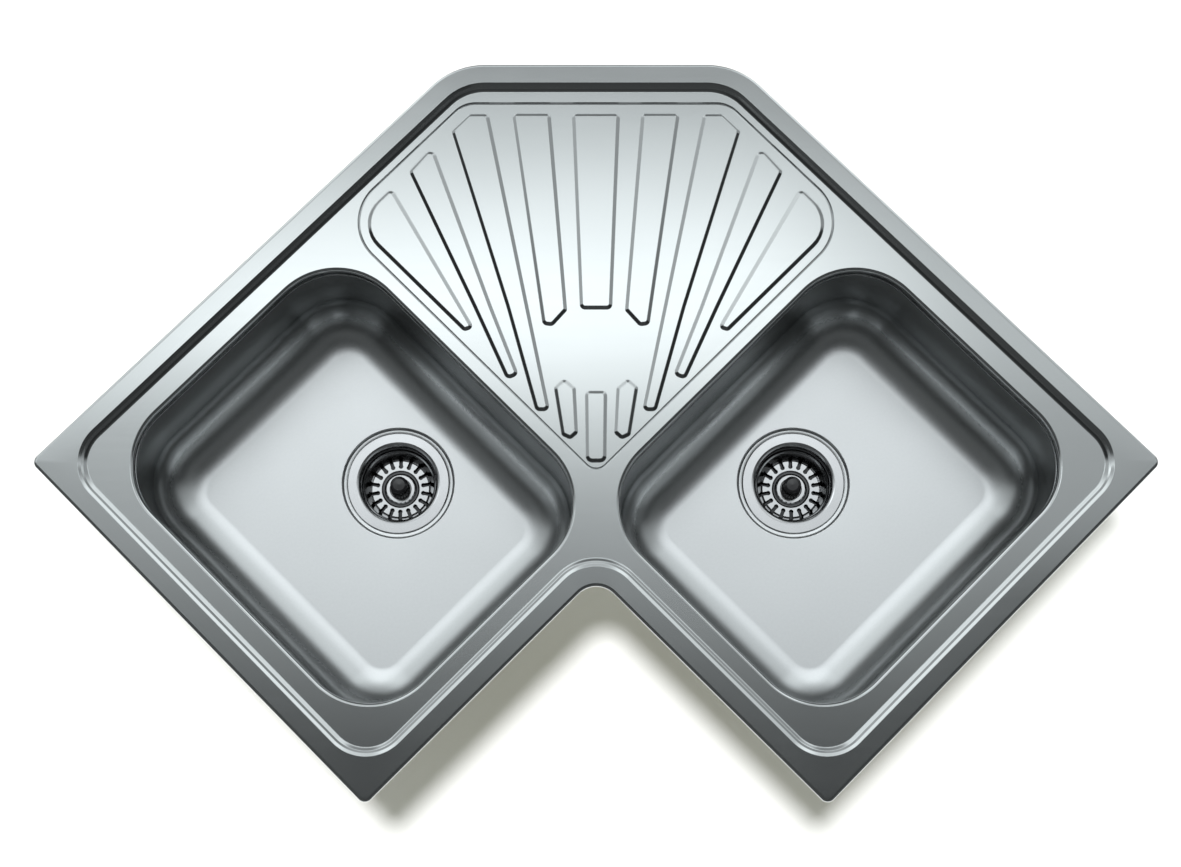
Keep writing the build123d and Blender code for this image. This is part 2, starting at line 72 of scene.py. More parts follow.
# ---------------------------------------------------------------- sizes of the part, mm
S2 = math.sqrt(2.0)
WALL, ARM, CHAMFER = 830.0, 500.0, 152.0
Y_MID = 546.5
SHEET = 0.8
R_TIP, R_CHAMFER, R_NOTCH, R_STEP, STRIP = 9.0, 80.0, 25.0, 48.0, 21.0
Z_RIM, Z_LEDGE, Z_DECK, Z_DRAINER, Z_RIB, Z_LIP, Z_SKIRT = 3.0, 1.75, -1.0, -2.0, 0.0, -14.0, 0.3
TILT = 0.0094  # the rim strip falls outwards by half a degree
BOWL_U, BOWL_V, BOWL_A, BOWL_B, R_BOWL = 609.0, 252.0, 336.0, 396.0, 75.0
Z_FLOOR, DRAFT, R_FLOOR = -156.0, 1.5, 52.0
DRAIN_U, DRAIN_V, R_HOLE, Z_SEAT = 563.0, 256.0, 44.5, -158.4


def uv(u, v):
    return ((v - u) / S2, -(u + v) / S2 + Y_MID)


def P(x, y):
    return (x, y + Y_MID)


def flip_x(pts):
    return [(-x, y) for x, y in reversed(pts)]


WS, WA = WALL / S2, ARM / S2
OUTLINE = [P(-CHAMFER, -CHAMFER), P(-WS, -WS), P(-WS + WA, -WS - WA), P(0.0, -ARM * S2), P(WS - WA, -WS - WA), P(WS, -WS), P(CHAMFER, -CHAMFER)]
EDGE_R = [R_CHAMFER, R_TIP, R_TIP, R_NOTCH, R_TIP, R_TIP, R_CHAMFER]
STEP_R = [R_CHAMFER, R_STEP + STRIP, R_STEP + STRIP, R_NOTCH, R_STEP + STRIP, R_STEP + STRIP, R_CHAMFER]

u0, u1 = BOWL_U - BOWL_A / 2, BOWL_U + BOWL_A / 2
v0, v1 = BOWL_V - BOWL_B / 2, BOWL_V + BOWL_B / 2
BOWL = {"left": [uv(u0, v0), uv(u1, v0), uv(u1, v1), uv(u0, v1)]}
BOWL["right"] = flip_x(BOWL["left"])
DRAIN = {"left": uv(DRAIN_U, DRAIN_V)}
DRAIN["right"] = (-DRAIN["left"][0], DRAIN["left"][1])

BV, BU, BY = 38.0, 424.0, -195.0
BORDER = [P(BY + BV * S2, BY), P((BV - BU) / S2, -(BU + BV) / S2), P(0.0, -BU * S2), P(-(BV - BU) / S2, -(BU + BV) / S2), P(-(BY + BV * S2), BY)]
BORDER_R = [30.0, 52.0, 14.0, 52.0, 30.0]

RIBS = [([P(-23.8, -208.2), P(-15.2, -421.0), P(15.2, -421.0), P(23.8, -208.2)], [4, 4, 4, 4]), ([P(-9.8, -512.3), P(-8.9, -585.0), P(8.9, -585.0), P(9.8, -512.3)], [4, 5, 5, 4])]
for pts, radii in [
    ([P(-87.8, -208.0), P(-54.5, -438.0), P(-46.3, -439.0), P(-32.3, -423.2), P(-50.3, -208.0)], [4, 4, 4, 2, 4]),
    ([P(-134.5, -208.5), P(-152.5, -226.5), P(-92.2, -420.3), P(-61.6, -530.5), P(-50.0, -530.5), P(-72.9, -420.3), P(-116.3, -208.5)], [5, 4, 300, 4, 4, 300, 4]),
    ([P(-175.0, -246.0), P(-197.0, -271.5), P(-127.0, -420.3), P(-92.5, -496.5), P(-83.0, -492.5), P(-111.2, -420.3)], [5, 4, 300, 4, 4, 300]),
    ([P(-217.5, -292.0), P(-253.9, -328.8), P(-138.2, -444.5), P(-130.6, -442.0)], [4, 34, 3.0, 3.0]),
    ([P(-33.3, -499.5), P(-42.2, -507.5), P(-34.2, -557.0), P(-26.8, -560.5), P(-20.6, -555.0), P(-23.0, -508.3)], [3, 3, 3, 3, 3, 3]),
]:
    RIBS.append((pts, radii))
    RIBS.append((flip_x(pts), list(reversed(radii))))


# ---------------------------------------------------------------- mesh helpers
class Rounded:
    """Rings of a rounded polygon, counter-clockwise, with the same points at every inward offset d."""

    def __init__(self, pts, radii, arc=5.0, run=70.0, least=0.3):
        self.pts, self.radii, self.least = [np.array(p, float) for p in pts], radii, least
        n = len(pts)
        self.conv, self.narc, self.nrun = [], [], []
        for i in range(n):
            a, b, c = self.pts[i - 1], self.pts[i], self.pts[(i + 1) % n]
            cross = (b - a)[0] * (c - b)[1] - (b - a)[1] * (c - b)[0]
            turn = abs(math.degrees(math.atan2(cross, float(np.dot(b - a, c - b)))))
            self.conv.append(cross > 0)
            self.narc.append(max(3, int(math.ceil(turn / arc))))
            self.nrun.append(max(1, int(np.linalg.norm(c - b) / run)))

    def ring(self, d=0.0):
        """(points, unit inward normals)"""
        n = len(self.pts)
        lines = []
        for i in range(n):
            p, q = self.pts[i], self.pts[(i + 1) % n]
            t = (q - p) / np.linalg.norm(q - p)
            nrm = np.array([-t[1], t[0]])
            lines.append((p + nrm * d, t, nrm))
        arcs = []
        for i in range(n):
            (p, a, na), (q, b, nb) = lines[i - 1], lines[i]
            det = a[0] * b[1] - a[1] * b[0]
            w = q - p
            corner = p + a * ((w[0] * b[1] - w[1] * b[0]) / det)
            r = max(self.radii[i] - d if self.conv[i] else self.radii[i] + d, self.least)
            half = math.acos(max(-1.0, min(1.0, float(np.dot(a, b))))) / 2
            cut = r * math.tan(half)
            m = (b - a) / np.linalg.norm(b - a)
            centre = corner + m * (r / math.cos(half))
            start, end = corner - a * cut - centre, corner + b * cut - centre
            s = 1.0 if self.conv[i] else -1.0
            a0 = math.atan2(start[1], start[0])
            k = np.arange(self.narc[i] + 1) / self.narc[i]
            ang = a0 + s * 2 * half * k
            ray = np.stack([np.cos(ang), np.sin(ang)], 1)
            arcs.append((centre + ray * r, -s * ray))
        pos, nor = [], []
        for i in range(n):
            pos.append(arcs[i][0])
            nor.append(arcs[i][1])
            e, f = arcs[i][0][-1], arcs[(i + 1) % n][0][0]
            m = self.nrun[i]
            if m > 1:
                k = (np.arange(1, m) / m)[:, None]
                pos.append(e + (f - e) * k)
                nor.append(np.repeat(lines[i][2][None], m - 1, 0))
        return np.concatenate(pos), np.concatenate(nor)


class Round:
    """Rings about a centre; the inward offset d is measured from radius r0."""

    def __init__(self, centre, r0, n=96):
        self.c, self.r0, self.n = np.array(centre, float), r0, n

    def ring(self, d=0.0):
        a = np.arange(self.n) / self.n * 2 * math.pi
        ray = np.stack([np.cos(a), np.sin(a)], 1)
        return self.c + ray * (self.r0 - d), -ray


def filleted(corners, step=10.0):
    """Points (d, z, nd, nz) along a line of (d, z, radius) corners; the normal is to the left of travel."""
    pts = [np.array(c[:2], float) for c in corners]
    out = []
    last = len(pts) - 1
    for i, p in enumerate(pts):
        if i in (0, last):
            t = (pts[1] - p) if i == 0 else (p - pts[last - 1])
            t = t / np.linalg.norm(t)
            out.append((p[0], p[1], -t[1], t[0]))
            continue
        a = (p - pts[i - 1]) / np.linalg.norm(p - pts[i - 1])
        b = (pts[i + 1] - p) / np.linalg.norm(pts[i + 1] - p)
        r = corners[i][2]
        cross = a[0] * b[1] - a[1] * b[0]
        turn = math.atan2(cross, float(np.dot(a, b)))
        if abs(turn) < 1e-6:
            continue
        s = 1.0 if turn > 0 else -1.0
        start = p - a * r * math.tan(abs(turn) / 2)
        na = np.array([-a[1], a[0]])
        centre = start + s * na * r
        k = max(2, int(math.ceil(abs(math.degrees(turn)) / step)))
        for j in range(k + 1):
            ang = turn * j / k
            c, sn = math.cos(ang), math.sin(ang)
            nn = np.array([na[0] * c - na[1] * sn, na[0] * sn + na[1] * c])
            q = centre - s * nn * r
            out.append((q[0], q[1], nn[0], nn[1]))
    return out


class Maker:
    """Collects rings, strips and flat fills of one piece, then makes its mesh."""

    def __init__(self):
        self.co, self.no, self.faces, self.flat, self.count = [], [], [], [], 0
        self.raw = []  # faces with the unpolished finish of the sheet's underside

    def ring(self, shape, p, sink=0.0, upright=False):
        """One ring at profile point p = (d, z, nd, nz). sink moves it under the surface by a sheet's thickness."""
        d, z, nd, nz = p
        sign = 1.0
        if sink:
            sign = -1.0
            if upright:
                z -= sink
            else:
                d, z = d - sink * nd, z - sink * nz
        xy, inward = shape.ring(d)
        n = len(xy)
        co = np.concatenate([xy, np.full((n, 1), z)], 1)
        no = np.concatenate([inward * nd, np.full((n, 1), nz)], 1) * sign
        self.co.append(co)
        self.no.append(no)
        idx = list(range(self.count, self.count + n))
        self.count += n
        return idx

    def strip(self, a, b, turned=False, flat=False):
        n = len(a)
        for i in range(n):
            j = (i + 1) % n
            if flat:
                self.flat.append(len(self.faces))
            f = (a[i], a[j], b[j], b[i])
            self.faces.append(f[::-1] if turned else f)

    def sweep(self, shape, profile, sink=0.0, upright=False):
        rings = [self.ring(shape, p, sink, upright) for p in profile]
        for a, b in zip(rings, rings[1:]):
            self.strip(a, b, turned=bool(sink))
        return rings[0], rings[-1]

    def fill(self, outer, holes=(), turned=False):
        """Flat triangles between an outer ring and the rings inside it."""
        co = np.concatenate(self.co)
        loops = [list(outer)] + [list(h) for h in holes]
        idx = [i for loop in loops for i in loop]
        flat = [Vector(co[i][:2]) for i in idx]
        edges, s = [], 0
        for loop in loops:
            n = len(loop)
            edges += [(s + k, s + (k + 1) % n) for k in range(n)]
            s += n
        _, _, faces, came, _, _ = geometry.delaunay_2d_cdt(flat, edges, [], 0, 1e-7, True)
        back = [idx[c[0]] for c in came]
        tri = np.array([[back[k] for k in f] for f in faces])
        mid = co[tri][:, :, :2].mean(1)
        keep = inside(mid, co[loops[0]][:, :2])
        for h in loops[1:]:
            keep &= ~inside(mid, co[h][:, :2])
        for t in tri[keep]:
            a, b, c = (co[k][:2] for k in t)
            up = (b[0] - a[0]) * (c[1] - a[1]) - (b[1] - a[1]) * (c[0] - a[0]) > 0
            t = [int(k) for k in t]
            self.faces.append(tuple(t if up != turned else t[::-1]))

    def add(self, co, no, faces):
        self.co.append(np.array(co, float))
        self.no.append(np.array(no, float))
        self.faces += [tuple(int(k) + self.count for k in f) for f in faces]
        self.count += len(co)

    def build(self, name, body, replaces=(), material=None):
        co = np.concatenate(self.co) * MM
        no = np.concatenate(self.no)
        no = no / np.linalg.norm(no, axis=1)[:, None]
        me = bpy.data.meshes.new(name)
        me.from_pydata(co.tolist(), [], self.faces)
        me.update()
        me.polygons.foreach_set("use_smooth", [True] * len(me.polygons))
        corner = np.concatenate([np.array(f) for f in self.faces])
        nor = no[corner]
        for i in self.flat:  # the narrow cut edges of a sheet keep their own flat normals
            p = me.polygons[i]
            nor[p.loop_start:p.loop_start + p.loop_total] = p.normal
        a = me.attributes.new("custom_normal", "FLOAT_VECTOR", "CORNER")
        a.data.foreach_set("vector", nor.astype(np.float32).ravel())
        me.update()
        ob = bpy.data.objects.new(name, me)
        scene.collection.objects.link(ob)
        settle(ob, body, replaces, material)
        if self.raw:
            me.materials.append(raw_steel)
            for i in self.raw:
                me.polygons[i].material_index = 1
        return ob


def inside(points, poly):
    x, y = points[:, 0], points[:, 1]
    hit = np.zeros(len(points), bool)
    a, b = poly, np.roll(poly, -1, 0)
    for (xa, ya), (xb, yb) in zip(a, b):
        if ya == yb:
            continue
        cross = (ya > y) != (yb > y)
        hit ^= cross & (x < (xb - xa) * (y - ya) / (yb - ya) + xa)
    return hit


def settle(ob, body, replaces=(), material=None):
    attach(ob, body)
    if replaces:
        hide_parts(*replaces)
    if material:
        ob.data.materials.clear()
        ob.data.materials.append(material)
    return ob


# ---------------------------------------------------------------- materials
def new_material(name, **sockets):
    m = bpy.data.materials.new(name)
    m.use_nodes = True
    nt = m.node_tree
    bsdf = nt.nodes["Principled BSDF"]
    for key, value in sockets.items():
        bsdf.inputs[key.replace("_", " ")].default_value = value
    return m, nt, bsdf


def add_node(nt, kind, inputs=None, **props):
    n = nt.nodes.new(kind)
    for k, v in props.items():
        setattr(n, k, v)
    for k, v in (inputs or {}).items():
        n.inputs[k].default_value = v
    return n


def coords(nt, scale=(1, 1, 1), rot=(0, 0, 0)):
    tc = add_node(nt, "ShaderNodeTexCoord")
    mp = add_node(nt, "ShaderNodeMapping", {"Scale": scale, "Rotation": rot})
    nt.links.new(tc.outputs["Object"], mp.inputs["Vector"])
    return mp.outputs["Vector"]


def noise(nt, vec, scale, detail=2.0, rough=0.5):
    n = add_node(nt, "ShaderNodeTexNoise", {"Scale": scale, "Detail": detail, "Roughness": rough})
    nt.links.new(vec, n.inputs["Vector"])
    return n.outputs["Fac"]


def remap(nt, value, a, b, lo, hi):
    n = add_node(nt, "ShaderNodeMapRange", {"From Min": a, "From Max": b, "To Min": lo, "To Max": hi})
    nt.links.new(value, n.inputs["Value"])
    return n.outputs["Result"]


def math_node(nt, op, a, b):
    n = add_node(nt, "ShaderNodeMath", operation=op)
    for i, v in enumerate((a, b)):
        if isinstance(v, (int, float)):
            n.inputs[i].default_value = v
        else:
            nt.links.new(v, n.inputs[i])
    return n.outputs["Value"]


def blend_colour(nt, fac, a, b):
    n = add_node(nt, "ShaderNodeMix", data_type="RGBA")
    nt.links.new(fac, n.inputs["Factor"])
    n.inputs["A"].default_value = (*a, 1)
    n.inputs["B"].default_value = (*b, 1)
    return n.outputs["Result"]


def bump(nt, height, strength, distance, normal=None):
    n = add_node(nt, "ShaderNodeBump", {"Strength": strength, "Distance": distance})
    nt.links.new(height, n.inputs["Height"])
    if normal is not None:
        nt.links.new(normal, n.inputs["Normal"])
    return n.outputs["Normal"]


def steel(name, dark, light, rough, spread, grain=(3.0, 260.0, 260.0), grain_depth=0.00002, wave=0.0, rot=0.0):
    """Satin stainless steel: a fine one-way grain, soft patches of tone and roughness, and a faint waviness of the sheet."""
    m, nt, b = new_material(name, Metallic=1.0)
    fine = noise(nt, coords(nt, grain, (0, 0, rot)), 1.0, 3.0, 0.6)
    patch = noise(nt, coords(nt, (1, 1, 1)), 7.0, 2.0)
    tone = math_node(nt, "ADD", math_node(nt, "MULTIPLY", fine, 0.45), math_node(nt, "MULTIPLY", patch, 0.55))
    nt.links.new(blend_colour(nt, remap(nt, tone, 0.3, 0.7, 0, 1), dark, light), b.inputs["Base Color"])
    nt.links.new(remap(nt, tone, 0.3, 0.7, rough - spread, rough + spread), b.inputs["Roughness"])
    n = bump(nt, fine, 0.35, grain_depth)
    if wave:
        n = bump(nt, noise(nt, coords(nt, (1, 1, 1)), 5.0, 1.0), 1.0, wave, n)
    nt.links.new(n, b.inputs["Normal"])
    return m, nt, b


deck_steel, _, _ = steel("deck_satin_steel", (0.63, 0.64, 0.645), (0.65, 0.66, 0.665), 0.12, 0.012, grain=(12.0, 150.0, 150.0), grain_depth=0.0000004, wave=0.0002)
bowl_steel, nt, b = steel("bowl_satin_steel", (0.62, 0.63, 0.635), (0.68, 0.69, 0.695), 0.0, 0.03, grain=(300.0, 300.0, 1500.0), grain_depth=0.000002, wave=0.0004)
rough = b.inputs["Roughness"].links[0].from_socket  # the satin gets coarser from the rim down to the floor of the bowl
pos = add_node(nt, "ShaderNodeSeparateXYZ")
nt.links.new(coords(nt), pos.inputs["Vector"])
ramp = add_node(nt, "ShaderNodeMapRange", {"From Min": -0.156, "From Max": -0.118, "To Min": 0.34, "To Max": 0.19}, interpolation_type="SMOOTHSTEP")
nt.links.new(pos.outputs["Z"], ramp.inputs["Value"])
nt.links.new(math_node(nt, "ADD", rough, ramp.outputs["Result"]), b.inputs["Roughness"])
tint = b.inputs["Base Color"].links[0].from_socket  # painted shade: the walls' colour is darkened above the floor, standing in for their dark reflections
ramp = add_node(nt, "ShaderNodeMapRange", {"From Min": -0.140, "From Max": -0.100, "To Min": 0.0, "To Max": 0.85}, interpolation_type="SMOOTHSTEP")
nt.links.new(pos.outputs["Z"], ramp.inputs["Value"])
painted_wall_shade = add_node(nt, "ShaderNodeMix", data_type="RGBA")
nt.links.new(ramp.outputs["Result"], painted_wall_shade.inputs["Factor"])
nt.links.new(tint, painted_wall_shade.inputs["A"])
# the painted shade colour of the walls
painted_wall_shade.inputs["B"].default_value = (0.35, 0.36, 0.365, 1)
nt.links.new(painted_wall_shade.outputs["Result"], b.inputs["Base Color"])


def strainer_steel_with_painted_shade(name, dark_z, light_z, amount):
    """Polished steel with painted shade: its colour is darkened towards near-black below dark_z."""
    m, nt, b = steel(name, (0.57, 0.57, 0.58), (0.63, 0.63, 0.64), 0.14, 0.03, grain=(40, 40, 40), grain_depth=0.000004)
    tint = b.inputs["Base Color"].links[0].from_socket
    pos = add_node(nt, "ShaderNodeSeparateXYZ")
    nt.links.new(coords(nt), pos.inputs["Vector"])
    ramp = add_node(nt, "ShaderNodeMapRange", {"From Min": dark_z, "From Max": light_z, "To Min": amount, "To Max": 0.0}, interpolation_type="SMOOTHSTEP")
    nt.links.new(pos.outputs["Z"], ramp.inputs["Value"])
    # painted shade: the colour is mixed towards near-black below dark_z
    painted_shade = add_node(nt, "ShaderNodeMix", data_type="RGBA")
    nt.links.new(ramp.outputs["Result"], painted_shade.inputs["Factor"])
    nt.links.new(tint, painted_shade.inputs["A"])
    painted_shade.inputs["B"].default_value = (0.01, 0.01, 0.011, 1)
    nt.links.new(painted_shade.outputs["Result"], b.inputs["Base Color"])
    return m


cup_steel = strainer_steel_with_painted_shade("strainer_cup_steel", -0.196, -0.182, 0.94)      # painted shade in the depth of the cup, under the basket
basket_steel = strainer_steel_with_painted_shade("strainer_basket_steel", -0.1940, -0.1927, 0.85)  # painted shade in the groove round its hub
raw_steel, _, _ = steel("raw_sheet_steel", (0.34, 0.345, 0.35), (0.42, 0.425, 0.43), 0.34, 0.05, grain=(60.0, 60.0, 400.0), grain_depth=0.000004, wave=0.0003)
zinc, _, _ = steel("zinc_plated_steel", (0.45, 0.46, 0.47), (0.62, 0.63, 0.62), 0.38, 0.08, grain=(120, 120, 120), grain_depth=0.00002)
screw_steel, _, _ = steel("turned_screw_steel", (0.42, 0.42, 0.42), (0.55, 0.55, 0.55), 0.3, 0.05, grain=(200, 200, 900), grain_depth=0.00001)


def solid_stuff(name, dark, light, rough, spread, scale, depth, fine=900.0, **sockets):
    m, nt, b = new_material(name, **sockets)
    v = coords(nt)
    coarse, tiny = noise(nt, v, scale, 4.0, 0.6), noise(nt, v, fine, 2.0)
    mixv = math_node(nt, "ADD", math_node(nt, "MULTIPLY", coarse, 0.6), math_node(nt, "MULTIPLY", tiny, 0.4))
    nt.links.new(blend_colour(nt, remap(nt, mixv, 0.3, 0.7, 0, 1), dark, light), b.inputs["Base Color"])
    nt.links.new(remap(nt, mixv, 0.3, 0.7, rough - spread, rough + spread), b.inputs["Roughness"])
    nt.links.new(bump(nt, tiny, 0.5, depth), b.inputs["Normal"])
    return m


knob_black = solid_stuff("glossy_black_knob", (0.005, 0.005, 0.006), (0.010, 0.010, 0.011), 0.12, 0.03, 60, 0.000004)
rubber = solid_stuff("black_rubber", (0.02, 0.02, 0.02), (0.045, 0.045, 0.045), 0.62, 0.08, 90, 0.00004)
foam = solid_stuff("grey_foam_strip", (0.10, 0.10, 0.105), (0.17, 0.17, 0.175), 0.88, 0.06, 120, 0.0002, fine=1400)
pad_mat = solid_stuff("bituminous_pad", (0.035, 0.035, 0.038), (0.075, 0.075, 0.078), 0.8, 0.08, 40, 0.0003, fine=600)
waste_white = solid_stuff("white_waste_plastic", (0.70, 0.70, 0.68), (0.80, 0.80, 0.78), 0.42, 0.05, 30, 0.00003)

# ---------------------------------------------------------------- deck
deck = Maker()
outline, steps = Rounded(OUTLINE, EDGE_R), Rounded(OUTLINE, STEP_R, arc=4.0)
border = Rounded(BORDER, BORDER_R, arc=4.0)
ribs = [Rounded(p, r, arc=11.0) for p, r in RIBS]
mouths = {s: Rounded(BOWL[s], [R_BOWL] * 4, arc=3.0) for s in BOWL}

edge = [(0.03, Z_SKIRT, -1.0, 0.0), (0.03, 0.55, -1.0, 0.0)]
EDGE_H = Z_RIM - TILT * (STRIP - 3.6) - 0.55
for k in range(1, 11):  # the rounded outer edge, 3.6 mm wide and 2.3 mm high
    a = math.radians(9.0 * k)
    d, z = 0.03 + 3.57 * (1 - math.cos(a)), 0.55 + EDGE_H * math.sin(a)
    nd, nz = -math.cos(a) / 3.6, math.sin(a) / EDGE_H
    L = math.hypot(nd, nz)
    edge.append((d, z, nd / L, nz / L) if k < 10 else (d, z, -TILT, 1.0))
edge.append((6.0, Z_RIM - TILT * (STRIP - 6.0), -TILT, 1.0))
step_line = filleted([(19.5, Z_RIM - TILT * 1.5, 0), (STRIP, Z_RIM, 1.4), (24.2, Z_LEDGE, 2.0), (26.8, Z_LEDGE - 0.5, 2.0), (30.0, Z_DECK, 2.4), (31.5, Z_DECK, 0)], 5.0)
border_line = filleted([(-2.2, Z_DECK, 0), (-1.0, Z_DECK, 0.5), (0.1, Z_DRAINER - 0.6, 0.35), (1.5, Z_DRAINER, 0.6), (2.8, Z_DRAINER, 0)], 10.0)  # a pressed line round the drainer
rib_line = filleted([(-3.0, Z_DRAINER, 0), (-1.6, Z_DRAINER, 1.6), (1.6, Z_RIB, 1.6), (2.6, Z_RIB, 0)], 6.0)
mouth_line = filleted([(-6.0, Z_DECK, 0), (0.0, Z_DECK, 4.0), (0.0, Z_LIP, 0)], 6.0)


def deck_side(sink):
    t = bool(sink)
    a0, a1 = deck.sweep(outline, edge, sink)
    b0, b1 = deck.sweep(steps, step_line, sink, upright=True)
    c0, c1 = deck.sweep(border, border_line, sink, upright=True)
    lips = {s: deck.sweep(mouths[s], mouth_line, sink) for s in mouths}
    tops = [deck.sweep(r, rib_line, sink, upright=True) for r in ribs]
    deck.fill(a1, [b0], turned=t)
    deck.fill(b1, [c0] + [lips[s][0] for s in lips], turned=t)
    deck.fill(c1, [r[0] for r in tops], turned=t)
    for r in tops:
        deck.fill(r[1], turned=t)
    return a0, {s: lips[s][1] for s in lips}


top_edge, top_lips = deck_side(0.0)
k = len(deck.faces)
low_edge, low_lips = deck_side(SHEET)
deck.raw = list(range(k, len(deck.faces)))
deck.strip(low_edge, top_edge, flat=True)
for s in top_lips:
    deck.strip(top_lips[s], low_lips[s], flat=True)
deck_ob = deck.build("sink_deck", "sink", ["deck"], deck_steel)

# ---------------------------------------------------------------- bowls
tan_d = math.tan(math.radians(DRAFT))
wall_line = filleted([(0.0, Z_LIP, 0), (0.0, Z_LIP - 9.0, 120.0), ((Z_LIP - Z_FLOOR) * tan_d, Z_FLOOR, R_FLOOR), (56.0, Z_FLOOR, 0)], 4.0)
recess_line = filleted([(0.0, Z_FLOOR, 0), (3.2, Z_FLOOR, 1.6), (5.2, Z_SEAT, 1.0), (65.0 - R_HOLE, Z_SEAT, 0)], 9.0)
for side in BOWL:
    bowl = Maker()
    recess = Round(DRAIN[side], 65.0)
    tops = {}
    for sink in (0.0, SHEET):
        k = len(bowl.faces)
        w0, w1 = bowl.sweep(mouths[side], wall_line, sink)
        r0, r1 = bowl.sweep(recess, recess_line, sink)
        bowl.fill(w1, [r0], turned=bool(sink))
        if sink:
            bowl.raw = list(range(k, len(bowl.faces)))
        tops[sink] = (w0, r1)
    bowl.strip(tops[SHEET][0], tops[0.0][0], flat=True)
    bowl.strip(tops[0.0][1], tops[SHEET][1], flat=True)
    bead = [(-SHEET - 0.1 - 0.65 * math.sin(math.radians(a)), Z_LIP + 0.75 * math.cos(math.radians(a)), -math.sin(math.radians(a)), math.cos(math.radians(a))) for a in range(-30, 211, 24)]
    bowl.sweep(mouths[side], bead[::-1])
    bowl.build("bowl_shell_" + side, "sink", ["bowl_" + side], bowl_steel)

# ---------------------------------------------------------------- materials of the carried-over pieces, the strainer cup and basket with painted shade
PIECE_MATERIALS = {
    "rim_seal": foam, "damping_pad": pad_mat, "clamp": zinc, "strainer_cup": cup_steel, "flange_gasket": rubber, "under_gasket": rubber,
    "waste_body": waste_white, "screw_washer": screw_steel, "centre_screw": screw_steel, "basket_knob": knob_black, "basket_seal": rubber,
    "basket_collar": rubber, "basket_spindle": screw_steel, "basket": basket_steel, "deck": deck_steel, "bowl": bowl_steel,
}
for name, ob in frame["nodes"].items():
    key = max((k for k in PIECE_MATERIALS if name.startswith(k)), key=len)
    ob.data.materials.clear()
    ob.data.materials.append(PIECE_MATERIALS[key])

# ---------------------------------------------------------------- floor, light, camera
low = CAD_BOX[0][2]
me = bpy.data.meshes.new("pale_floor")
me.from_pydata([(30 * math.cos(math.radians(6 * k)), 30 * math.sin(math.radians(6 * k)), low) for k in range(60)], [], [list(range(60))])  # a disc: its horizon is straight from every side
floor = bpy.data.objects.new("pale_floor", me)
scene.collection.objects.link(floor)
fm, nt, b = new_material("pale_floor_paint", Roughness=0.9, Emission_Strength=0.13, Emission_Color=(1.0, 1.0, 0.68, 1))
nt.links.new(blend_colour(nt, noise(nt, coords(nt), 1.5, 2.0), (0.86, 0.86, 0.86), (0.90, 0.90, 0.90)), b.inputs["Base Color"])
me.materials.append(fm)

world = bpy.data.worlds.new("studio")
scene.world = world
world.use_nodes = True
nt = world.node_tree
bg = nt.nodes["Background"]


def wmath(op, a, b=0.0):
    return math_node(nt, op, a, b)


def smooth(value, a, b, lo=0.0, hi=1.0):
    n = add_node(nt, "ShaderNodeMapRange", {"From Min": a, "From Max": b, "To Min": lo, "To Max": hi}, interpolation_type="SMOOTHSTEP")
    nt.links.new(value, n.inputs["Value"])
    return n.outputs["Result"]


tc = add_node(nt, "ShaderNodeTexCoord")
sep = add_node(nt, "ShaderNodeSeparateXYZ")
nt.links.new(tc.outputs["Generated"], sep.inputs["Vector"])
X, Y, Z = sep.outputs
zsafe = wmath("MAXIMUM", Z, 0.02)
SX, SY = wmath("DIVIDE", X, zsafe), wmath("DIVIDE", Y, zsafe)  # slopes off the zenith: right, and to the back
level_xy = wmath("SQRT", wmath("ADD", wmath("MULTIPLY", X, X), wmath("MULTIPLY", Y, Y)))
TURN = wmath("DIVIDE", Y, wmath("MAXIMUM", level_xy, 0.01))   # 1 behind, 0 at the sides, -1 in front
SIDE = wmath("DIVIDE", X, wmath("MAXIMUM", level_xy, 0.01))   # 1 to the right, -1 to the left
band = add_node(nt, "ShaderNodeValToRGB")                      # one soft lamp to the back of the zenith, seen over its slope
LAMP = [(0.04, 0.035), (0.06, 0.05), (0.08, 0.085), (0.10, 0.145), (0.12, 0.24), (0.14, 0.335), (0.16, 0.445), (0.18, 0.515), (0.20, 0.575),
        (0.21, 0.675), (0.22, 0.86), (0.23, 1.22), (0.24, 1.62), (0.25, 1.84), (0.26, 1.97), (0.27, 1.98), (0.28, 1.86), (0.30, 1.54),
        (0.32, 1.18), (0.34, 0.90), (0.36, 0.56), (0.38, 0.43), (0.40, 0.37)]
for k, (at, light) in enumerate(LAMP):
    stop = band.color_ramp.elements[k] if k < 2 else band.color_ramp.elements.new(at / 0.5)
    stop.position = at / 0.5
    v = light / 2.5
    stop.color = (v, v, v, 1.0)
slant = wmath("MULTIPLY", smooth(wmath("ABSOLUTE", SX), 0.08, 0.18, 0.0, 0.008), smooth(SY, 0.17, 0.21))   # its ends lie a little further back
nt.links.new(wmath("MULTIPLY", wmath("SUBTRACT", SY, slant), 2.0), band.inputs["Fac"])
lamp = wmath("MULTIPLY", band.outputs["Color"], 2.5)
sides = wmath("MULTIPLY", smooth(SX, 0.06, 0.17, 1.0, 0.40), smooth(SX, -0.10, -0.26, 1.0, 0.64))
where = smooth(SY, 0.16, 0.27)
sides = wmath("ADD", wmath("MULTIPLY", where, sides), wmath("SUBTRACT", 1.0, where))
low_right = wmath("MULTIPLY", smooth(SX, 0.14, 0.172), smooth(SY, 0.165, 0.13, 0.0, 0.66))
sides = wmath("MULTIPLY", sides, wmath("SUBTRACT", 1.0, low_right))
softbox = wmath("MULTIPLY", wmath("MULTIPLY", lamp, sides), smooth(Z, 0.72, 0.90))
ring = wmath("MULTIPLY", smooth(Z, 0.08, 0.42, 0.15, 1.0), smooth(Z, 0.93, 0.72))
round_it = wmath("ADD", smooth(TURN, 0.06, 0.26, 0.0, 0.52), smooth(TURN, 0.5, 0.88, 0.0, 0.75))
